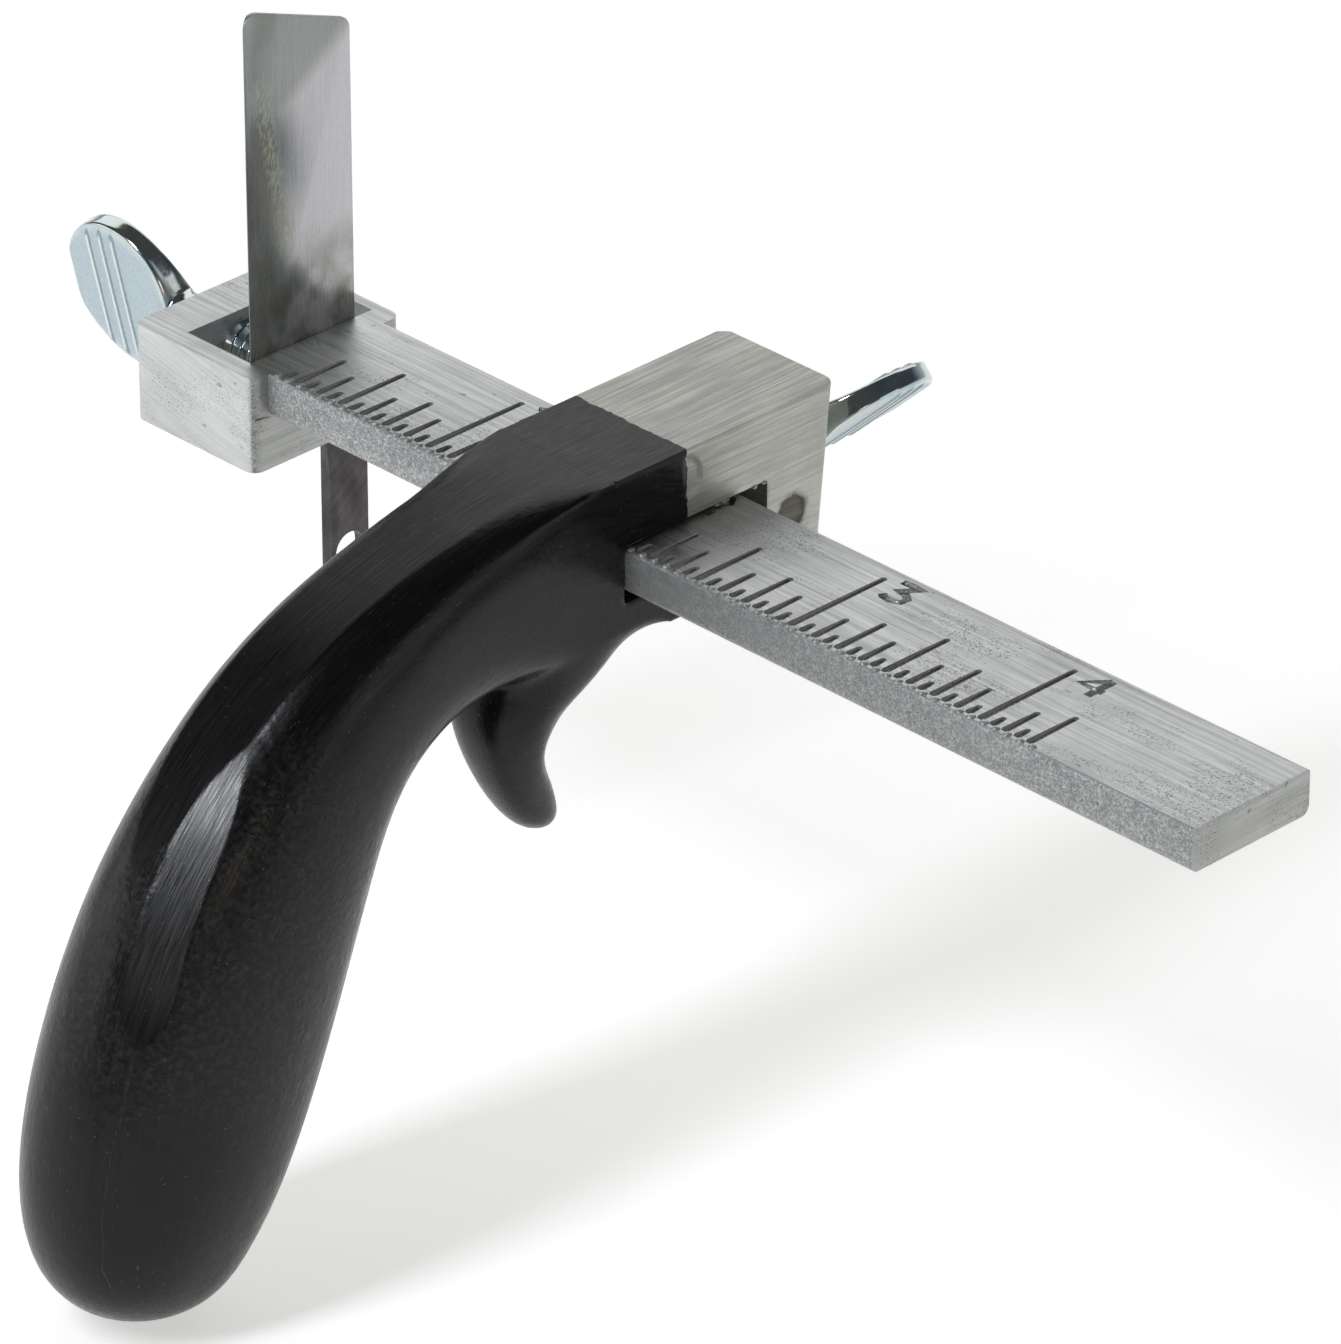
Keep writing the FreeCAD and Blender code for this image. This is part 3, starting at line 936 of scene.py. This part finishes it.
def finish_with(tree, shader, colour, roughness, height, depth, metallic=None):
    """Link a finish to its shader. Depth is the height's full range in millimetres."""
    bump = node(tree, "ShaderNodeBump", 1.0, depth * mm)
    tree.links.new(bump.node.inputs["Height"], height)
    tree.links.new(shader.inputs["Base Color"], colour)
    tree.links.new(shader.inputs["Roughness"], roughness)
    tree.links.new(shader.inputs["Normal"], bump)
    if metallic is not None:
        tree.links.new(shader.inputs["Metallic"], metallic)


def wear(piece, made):
    """Put one finish on all of a piece."""
    if not piece.material_slots:
        piece.data.materials.append(made)
    for slot in piece.material_slots:
        slot.material = made


# %% [markdown]
# ## Linished and as-cast aluminium
# The bar's top and ends were run over a belt, which left long scratches a tenth or two of a
# millimetre wide, while its sides and the floors of its lines keep the sand's sparkle. Scratches
# are drawn about twice their real width, so that they show.

# %% Belt-ground and cast skins
def ground_aluminium(tree, place, size, shift, turn=(0.0, 0.0, 0.0)):
    """Tone, roughness and height of a belt-ground face."""
    fine = marks(tree, place, size, 4.0, shift, turn)
    deep = marks(tree, place, [s * 2.3 for s in size], 2.0, shift + 31, turn)
    cloud = marks(tree, place, (7, 7, 7), 4.0, shift + 57)
    tone = node(tree, MIX, 0.45, fine, cloud)
    colour = node(tree, RAMP, tone, stops=[(0.33, "#bdbfbe"), (0.5, "#cccecd"), (0.67, "#dbdcdb")])
    roughness = node(tree, RANGE, deep, 0.3, 0.7, 0.42, 0.58)
    height = node(tree, MIX, 0.4, fine, deep)
    return colour, roughness, height


def cast_grain(tree, place, shift):
    """Tone, roughness and height of sand-cast skin."""
    grain = marks(tree, place, (0.22, 0.22, 0.22), 2.0, shift)
    lump = marks(tree, place, (0.7, 0.7, 0.7), 3.0, shift + 11)
    height = node(tree, MIX, 0.3, grain, lump)
    stops = [(0.34, "#a0a2a2"), (0.5, "#abadad"), (0.68, "#cdcecd")]
    colour = node(tree, RAMP, height, stops=stops)
    roughness = node(tree, RANGE, grain, 0.35, 0.65, 0.80, 0.55)
    return colour, roughness, height


# %% Which face is which on the gauge bar
bar_metal, tree, shader = new_finish("sand-cast aluminium, belt-ground on top")
shader.inputs["Metallic"].default_value = 1.0
place = node(tree, "ShaderNodeTexCoord", out="Object")
facing = node(tree, "ShaderNodeSeparateXYZ", place.node.outputs["Normal"]).node.outputs
where = node(tree, "ShaderNodeSeparateXYZ", place).node.outputs
squarely = (0.75, 0.9)
end_on = node(tree, SIZE_OF, facing["X"])
side_on = node(tree, SIZE_OF, facing["Y"])
is_top = node(tree, RANGE, facing["Z"], *squarely)
is_end = node(tree, RANGE, end_on, *squarely)
is_side = node(tree, RANGE, side_on, *squarely)
head_edge = (head_front - 0.1 * mm, head_front + 0.2 * mm, 1.0, 0.0)
on_head = node(tree, RANGE, where["X"], *head_edge)
line_floor = (bar_top - 0.16 * mm, bar_top - 0.05 * mm, 1.0, 0.0)
sunk = node(tree, RANGE, where["Z"], *line_floor)
not_sunk = node(tree, MINUS, 1.0, sunk)
head_side = node(tree, TIMES, is_side, on_head)
top_ground = node(tree, TIMES, is_top, not_sunk)
top_sunk = node(tree, TIMES, is_top, sunk)

# %% Finish of the gauge bar
belt_scratch = (9.0, 0.19, 0.19)
skin = cast_grain(tree, place, 5.0)
along_x = ground_aluminium(tree, place, belt_scratch, 3.0)
along_y = ground_aluminium(tree, place, (0.19, 8.0, 0.19), 17.0)
skew = ground_aluminium(tree, place, belt_scratch, 41.0, (0.0, math.radians(12), 0.0))
layers = list(skin)
for part_of, ground in ((top_ground, along_x), (is_end, along_y), (head_side, skew)):
    layers = [node(tree, MIX, part_of, below, above)
              for below, above in zip(layers, ground)]
colour, roughness, height = layers
patch_noise = marks(tree, place, (9, 5, 5), 3.0, 71.0)
pit_noise = marks(tree, place, (0.24, 0.18, 0.18), 2.0, 83.0)
stain_noise = marks(tree, place, (1.5, 1.1, 1.1), 3.0, 23.0)
patch = node(tree, RANGE, patch_noise, 0.46, 0.62)
pit = node(tree, RANGE, pit_noise, 0.55, 0.72)
pit = node(tree, TIMES, pit, patch)
stain = node(tree, RANGE, stain_noise, 0.68, 0.76)
for dark_share, darkest in ((pit, "#b4b4b2"), (stain, "#c9cacb"), (top_sunk, "#d8d7d3"), (is_end, "#dcdcda")):
    tint = node(tree, RAMP, dark_share, stops=[(0.0, "#ffffff"), (1.0, darkest)])
    colour = node(tree, TINT, 1.0, colour, tint)
height = node(tree, TIMES_PLUS, pit, -0.8, height)
finish_with(tree, shader, colour, roughness, height, 0.035)
for piece in (bar, edge_beads, bar_flash, slot_crumbs):
    wear(piece, bar_metal)
print("gauge bar finished with", len(tree.nodes), "nodes")

# %% [markdown]
# ## Dipped enamel
# The grip was dipped in black enamel up to the middle of the nose, and the nose past that line
# stayed bare. Enamel on a casting is glossy but not flat: it has a leathery grain where it is
# thick, and where the spine was ground it lets the scratches through and shines more. Below the
# ground band the seam of the mould is left as a thin crack-like line.

# %% Where the enamel ends
enamel, tree, shader = new_finish("dipped black enamel on belt-ground aluminium")
place = node(tree, "ShaderNodeTexCoord", out="Object")
where = node(tree, "ShaderNodeSeparateXYZ", place).node.outputs
grip_grain = node(tree, "ShaderNodeAttribute", out="Vector", attribute_name="grain")
ground_share = node(tree, "ShaderNodeAttribute", out="Fac", attribute_name="ground")
band_share = node(tree, "ShaderNodeAttribute", out="Fac", attribute_name="band")
grip_parts = node(tree, "ShaderNodeSeparateXYZ", grip_grain).node.outputs
shine = node(tree, RANGE, band_share, 0.0, 1.0, 0.27, 0.85)
tree.links.new(shader.inputs["Specular IOR Level"], shine)
paint_edge = 0.3 * mm
drip_height = 1.0 * mm
drip_noise = marks(tree, place, (1.4, 1.4, 1.4), 5.0, 9.0)
drip = node(tree, TIMES_PLUS, drip_noise, drip_height, -0.5 * drip_height)
past_edge = node(tree, PLUS, where["Y"], drip)
edge_span = (paint_edge - 0.07 * mm, paint_edge + 0.07 * mm)
bare = node(tree, RANGE, past_edge, *edge_span)

# %% The mould's seam below the ground band
def along_bend(degrees):
    """Distance along the grip's bend at an angle."""
    return bend_radius * math.radians(degrees)


seam_start = along_bend(62.0)
seam_length = along_bend(27.0)
seam_start_x = float(spine_line(66.0)) + 2.1 * mm
seam_slope = -0.01
seam_wander = 1.1 * mm
seam_end = (seam_length - 3.0 * mm, seam_length, 1.0, 0.0)
wander_noise = marks(tree, place, (3.0, 3.0, 3.0), 5.0, 73.0)
down_seam = node(tree, MINUS, grip_parts["X"], seam_start)
seam_x = node(tree, TIMES_PLUS, down_seam, seam_slope, seam_start_x)
wander = node(tree, TIMES_PLUS, wander_noise, seam_wander, -0.5 * seam_wander)
wandered = node(tree, PLUS, grip_parts["Y"], wander)
off_seam = node(tree, MINUS, wandered, seam_x)
off_seam = node(tree, SIZE_OF, off_seam)
seam = node(tree, RANGE, off_seam, 0.04 * mm, 0.16 * mm, 1.0, 0.0)
for limit in ((down_seam, 0.0, 2.0 * mm), (down_seam, *seam_end),
              (grip_parts["Z"], 50.0 * mm, 55.0 * mm)):
    kept = node(tree, RANGE, *limit)
    seam = node(tree, TIMES, seam, kept)

# %% The enamel's grain and scratches
peel = marks(tree, place, (0.62, 0.62, 0.62), 3.0, 13.0)
swell = marks(tree, place, (3.5, 3.5, 3.5), 2.0, 19.0)
scratch = marks(tree, grip_grain, (9.0, 0.34, 0.9), 3.0, 37.0)
fine_scratch = marks(tree, grip_grain, (5.0, 0.16, 0.6), 2.0, 47.0)
lively = node(tree, RANGE, swell, 0.42, 0.62, 0.45, 1.0)
palm_start = (along_bend(24.0), along_bend(34.0), 0.9, 2.2)
palm_end = (along_bend(60.0), along_bend(74.0), 1.0, 0.4)
leather = node(tree, RANGE, grip_parts["X"], *palm_start)
leather_end = node(tree, RANGE, grip_parts["X"], *palm_end)
leather = node(tree, TIMES, leather, leather_end)
grainy = node(tree, TIMES, peel, lively)
grainy = node(tree, TIMES, grainy, leather)
smooth_height = node(tree, TIMES_PLUS, scratch, 0.18, grainy)
ground_height = node(tree, TIMES, fine_scratch, 0.45)
ground_height = node(tree, TIMES_PLUS, scratch, 0.75, ground_height)
enamel_height = node(tree, MIX, ground_share, smooth_height, ground_height)
enamel_height = node(tree, TIMES_PLUS, seam, -2.2, enamel_height)

# %% The enamel's tone and gloss
speck_noise = marks(tree, place, (0.30, 0.30, 0.30), 0.0, 61.0)
scuff_noise = marks(tree, grip_grain, (2.4, 0.28, 0.28), 1.0, 67.0)
speck = node(tree, RANGE, speck_noise, 0.80, 0.86, 0.0, 0.8)
scuff = node(tree, RANGE, scuff_noise, 0.74, 0.82, 0.0, 0.5)
grain_top = node(tree, RANGE, peel, 0.42, 0.72)
in_leather = node(tree, RANGE, leather, 0.9, 2.2, 0.0, 0.20)
unground = node(tree, MINUS, 1.0, ground_share)
# Painted sheen: the tips of the leathery grain are coloured paler, outside the ground flats.
painted_grain_sheen = node(tree, TIMES, grain_top, in_leather)
painted_grain_sheen = node(tree, TIMES, painted_grain_sheen, unground)
# Real pale specks and scuffs are joined here with the painted sheen of the grain.
specks_scuffs_and_sheen = node(tree, LARGER, speck, scuff)
specks_scuffs_and_sheen = node(tree, LARGER, specks_scuffs_and_sheen, painted_grain_sheen)
enamel_colour = node(tree, RAMP, specks_scuffs_and_sheen, stops=[(0.0, "#0b0b0c"), (1.0, "#4b4b4b")])
enamel_gloss = node(tree, RANGE, fine_scratch, 0.3, 0.7, 0.20, 0.36)
enamel_gloss = node(tree, TIMES_PLUS, ground_share, 0.06, enamel_gloss)

# %% The bare nose, and the whole handle
nose_tone, nose_gloss, nose_height = ground_aluminium(tree, place, (0.15, 5.0, 0.15), 29.0)
warm = node(tree, TINT, 1.0, nose_tone, linear("#e0ded8"))
mark_centre = (15.9 * mm, 14.8 * mm, 3.7 * mm)      # a dark round mark that a clamp left
mark_radius = 2.5 * mm
mark_noise = marks(tree, place, (0.9, 0.9, 0.9), 3.0, 77.0)
from_mark = node(tree, "ShaderNodeVectorMath", place, mark_centre, out="Value", operation="DISTANCE")
from_mark = node(tree, TIMES_PLUS, mark_noise, 0.9 * mm, from_mark)
mark_span = (mark_radius * 0.5, mark_radius * 1.25)
mark_fade = node(tree, RANGE, from_mark, *mark_span)
mark_tone = node(tree, RAMP, mark_fade, stops=[(0.0, "#8d8b88"), (0.55, "#6f6d6b"), (1.0, "#ffffff")])
colour = node(tree, MIX, bare, enamel_colour, warm)
colour = node(tree, TINT, 1.0, colour, mark_tone)
roughness = node(tree, MIX, bare, enamel_gloss, nose_gloss)
height = node(tree, MIX, bare, enamel_height, nose_height)
finish_with(tree, shader, colour, roughness, height, 0.035, bare)
wear(handle, enamel)
print("handle finished with", len(tree.nodes), "nodes")

# %% [markdown]
# ## Bright zinc
# The thumb screws were forged and then plated with bright zinc, which is bluish with faint
# yellow and violet films. The paddle's flats keep a fine frosting from the forging die, the tops
# of their ribs are coloured lighter while their flanks carry painted shade, and the trimmed rim
# and the neck are smooth enough to mirror.

# %% Finish of the thumb screws
zinc, tree, shader = new_finish("bright zinc plate on forged steel")
shader.inputs["Metallic"].default_value = 1.0
place = node(tree, "ShaderNodeTexCoord", out="Object")
flat_share = node(tree, "ShaderNodeAttribute", out="Fac", attribute_name="flat")
rib = node(tree, "ShaderNodeAttribute", out="Fac", attribute_name="rib")
film = marks(tree, place, (4.5, 4.5, 4.5), 3.0, 7.0)
frost = marks(tree, place, (0.30, 0.30, 0.30), 2.0, 15.0)
wave = marks(tree, place, (1.6, 1.6, 1.6), 1.0, 27.0)
film_stops = [(0.30, "#a9bcc8"), (0.46, "#c3cfd2"), (0.58, "#cbd0c6"), (0.70, "#b7bdcf")]
film_colour = node(tree, RAMP, film, stops=film_stops)
frost_colour = node(tree, RAMP, frost, stops=[(0.35, "#aebdc4"), (0.65, "#bdcad0")])
lighter_rib_tops = node(tree, RAMP, frost, stops=[(0.3, "#d6dfdf"), (0.7, "#e6ebe8")])
shaded = node(tree, RAMP, frost, stops=[(0.3, "#76868c"), (0.7, "#8b999e")])
rib_top = node(tree, RANGE, rib, 0.6, 1.0)
rib_foot = node(tree, RANGE, rib, 0.04, 0.3)
rib_side = node(tree, RANGE, rib, 0.55, 0.95, 0.8, 0.0)
rib_flank = node(tree, TIMES, rib_foot, rib_side)
colour = node(tree, MIX, flat_share, film_colour, frost_colour)
# The rib tops are coloured lighter, and the rib flanks get painted shade, a darker copy of the frost.
colour = node(tree, MIX, rib_top, colour, lighter_rib_tops)
colour = node(tree, MIX, rib_flank, colour, shaded)
roughness = node(tree, RANGE, frost, 0.3, 0.7, 0.10, 0.17)
roughness = node(tree, TIMES_PLUS, flat_share, 0.26, roughness)
frosted = node(tree, TIMES, frost, flat_share)
frosted = node(tree, TIMES, frosted, 0.35)
height = node(tree, TIMES_PLUS, wave, 0.8, frosted)
finish_with(tree, shader, colour, roughness, height, 0.03)
for piece in (blade_wing, lock_wing, blade_shank, lock_shank):
    wear(piece, zinc)
print("thumb screws finished with", len(tree.nodes), "nodes")

# %% [markdown]
# ## Blade steel
# The blade is thin spring steel, ground across and then polished. Its colour carries painted
# shade along its left edge, near its foot and above a slanted line high up, mottled by a cloudy
# noise. It has rust spots just above the bar and a frosted patch along its rear edge, which is
# where it was wiped with acid. The steel is made only partly metallic.

# %% Painted shade and rust on the blade
blade_steel, tree, shader = new_finish("polished spring steel with painted shade")
shader.inputs["Metallic"].default_value = 0.6
place = node(tree, "ShaderNodeTexCoord", out="Object")
where = node(tree, "ShaderNodeSeparateXYZ", place).node.outputs
left_edge = (blade_low.y + 3.0 * mm, blade_low.y + 9.0 * mm, 0.85, 0.0)
near_foot = (bar_top + 4.0 * mm, bar_top + 15.0 * mm, 1.0, 0.0)
near_bar = (bar_top + 1.0 * mm, bar_top + 11.0 * mm, 1.0, 0.0)
shade_mottle = marks(tree, place, (12.0, 9.0, 16.0), 3.0, 33.0)
foot_shade_mottle = marks(tree, place, (6.0, 4.5, 5.0), 3.0, 35.0)
rust_noise = marks(tree, place, (3.2, 3.2, 3.2), 3.0, 45.0)
# Painted shade: the upper blade is darkened above a slanted line.
shade_edge = node(tree, TIMES_PLUS, where["Y"], 0.75, 36.0 * mm)
over_shade = node(tree, MINUS, where["Z"], shade_edge)
shade_span = (-1.5 * mm, 2.5 * mm, 0.0, 0.62)
top_shade = node(tree, RANGE, over_shade, *shade_span)
# Painted shade along the left edge and near the foot, each mottled by its noise.
by_edge = node(tree, RANGE, where["Y"], *left_edge)
by_foot = node(tree, RANGE, where["Z"], *near_foot)
thick = node(tree, RANGE, shade_mottle, 0.34, 0.60, 0.55, 1.0)
foot_shade_depth = node(tree, RANGE, foot_shade_mottle, 0.36, 0.62, 0.25, 1.0)
left_shade = node(tree, TIMES, by_edge, thick)
foot_shade = node(tree, TIMES, by_foot, foot_shade_depth)
shade = node(tree, LARGER, left_shade, foot_shade)
shade = node(tree, LARGER, top_shade, shade)
# The mottle noise also varies the painted shade all over the blade.
shade = node(tree, TIMES_PLUS, shade_mottle, 0.25, shade)
shade = node(tree, MINUS, shade, 0.125)
# The ramp turns the painted shade into darker greys of the steel.
shade_stops = [(0.05, "#cbc9ce"), (0.40, "#b3b5b4"), (0.75, "#949a98"), (1.0, "#7f7d79")]
steel_colour = node(tree, RAMP, shade, stops=shade_stops)
rust_spot = node(tree, RANGE, rust_noise, 0.48, 0.66)
rust_low = node(tree, RANGE, where["Z"], *near_bar)
rust = node(tree, TIMES, rust_spot, rust_low)
rust_colour = node(tree, RAMP, rust, stops=[(0.0, "#857a6b"), (1.0, "#5c5245")])
rust_cover = node(tree, TIMES, rust, 0.55)
stained = node(tree, MIX, rust_cover, steel_colour, rust_colour)

# %% The frosted patch and the polish
patch_low = (bar_top + 8.0 * mm, bar_top + 15.0 * mm)
patch_high = (blade_high.z - 9.0 * mm, blade_high.z - 6.0 * mm, 1.0, 0.0)
patch_side = (0.3 * mm, 1.6 * mm, 1.0, 0.0)
grit = marks(tree, place, (0.22, 0.26, 0.9), 2.0, 51.0, (math.radians(-12), 0.0, 0.0))
acid_film = marks(tree, place, (0.5, 0.5, 0.8), 1.0, 52.0)
polish = marks(tree, place, (0.20, 0.20, 8.0), 3.0, 55.0)
leaning = node(tree, TIMES_PLUS, where["Z"], 0.17, where["Y"])
off_line = node(tree, MINUS, leaning, 0.9 * mm)
off_line = node(tree, SIZE_OF, off_line)
frost_patch = node(tree, RANGE, off_line, *patch_side)
for limit in ((where["Z"], *patch_high), (where["Z"], *patch_low), (grit, 0.44, 0.60)):
    kept = node(tree, RANGE, *limit)
    frost_patch = node(tree, TIMES, frost_patch, kept)
film_stops = [(0.36, "#a9cbbf"), (0.5, "#d8cfae"), (0.64, "#c9b9a6")]
film_colour = node(tree, RAMP, acid_film, stops=film_stops)
patch_cover = node(tree, TIMES, frost_patch, 0.6)
colour = node(tree, MIX, patch_cover, stained, film_colour)
roughness = node(tree, RANGE, polish, 0.3, 0.7, 0.20, 0.32)
roughness = node(tree, TIMES_PLUS, frost_patch, 0.25, roughness)
height = node(tree, TIMES_PLUS, grit, frost_patch, polish)
finish_with(tree, shader, colour, roughness, height, 0.006)
wear(blade_sheet, blade_steel)

# %% Finish of the toe
toe_steel, tree, shader = new_finish("hardened dark steel")
shader.inputs["Metallic"].default_value = 1.0
place = node(tree, "ShaderNodeTexCoord", out="Object")
scale_marks = marks(tree, place, (1.8, 1.8, 4.0), 4.0, 65.0)
ground_marks = marks(tree, place, (0.25, 7.0, 0.25), 3.0, 69.0, (math.radians(40), 0.0, 0.0))
tone = node(tree, MIX, 0.4, scale_marks, ground_marks)
toe_stops = [(0.36, "#3f3d3d"), (0.5, "#4f4d4d"), (0.66, "#62605f")]
colour = node(tree, RAMP, tone, stops=toe_stops)
roughness = node(tree, RANGE, ground_marks, 0.3, 0.7, 0.30, 0.46)
finish_with(tree, shader, colour, roughness, ground_marks, 0.012)
wear(nodes["blade_toe"], toe_steel)
print("steel finished on the blade and its toe")
